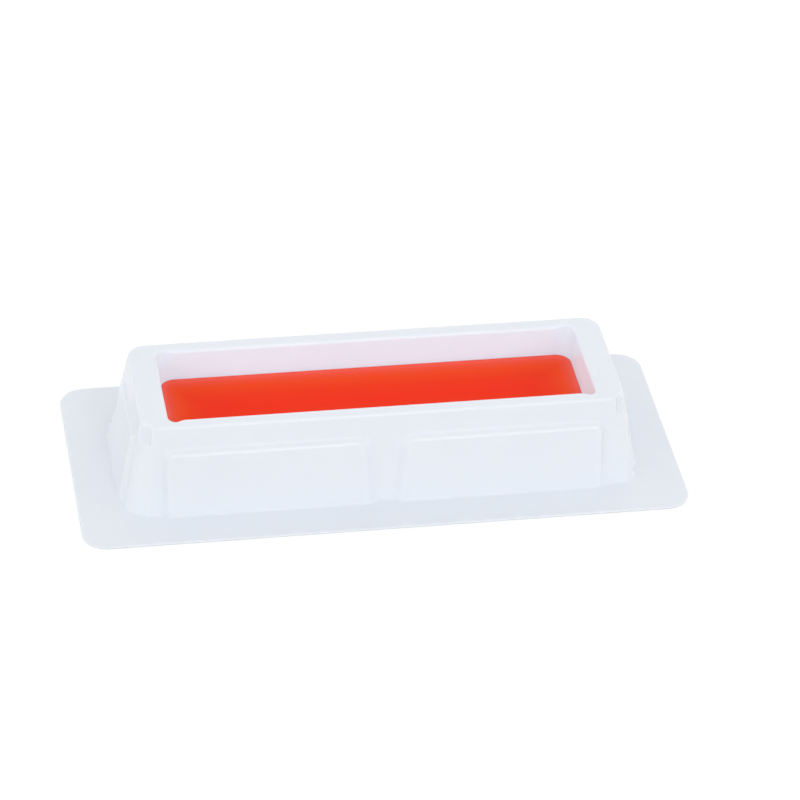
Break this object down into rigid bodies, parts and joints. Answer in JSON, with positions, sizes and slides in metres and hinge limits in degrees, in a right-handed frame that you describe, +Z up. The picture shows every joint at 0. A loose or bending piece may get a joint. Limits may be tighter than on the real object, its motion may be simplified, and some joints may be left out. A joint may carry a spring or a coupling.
{
  "type": "reagent reservoir",
  "caption": "Low rectangular trough on a wide flat flange, formed from one sheet, with drafted panelled walls and a red liquid inside.",
  "frame": {"origin": "centre of the flange's underside, on the surface it rests on", "axes": "+Z up, out of the mouth; +X along the trough's length; +Y across it"},
  "size_m": [0.1676, 0.0718, 0.0268],
  "materials": {
    "formed_sheet": "satin white polystyrene sheet, slightly translucent",
    "liquid": "smooth wet surface of a red aqueous liquid"
  },
  "bodies": {
    "root": {"reservoir": "formed_sheet", "reagent": "liquid"}
  },
  "joints": []
}
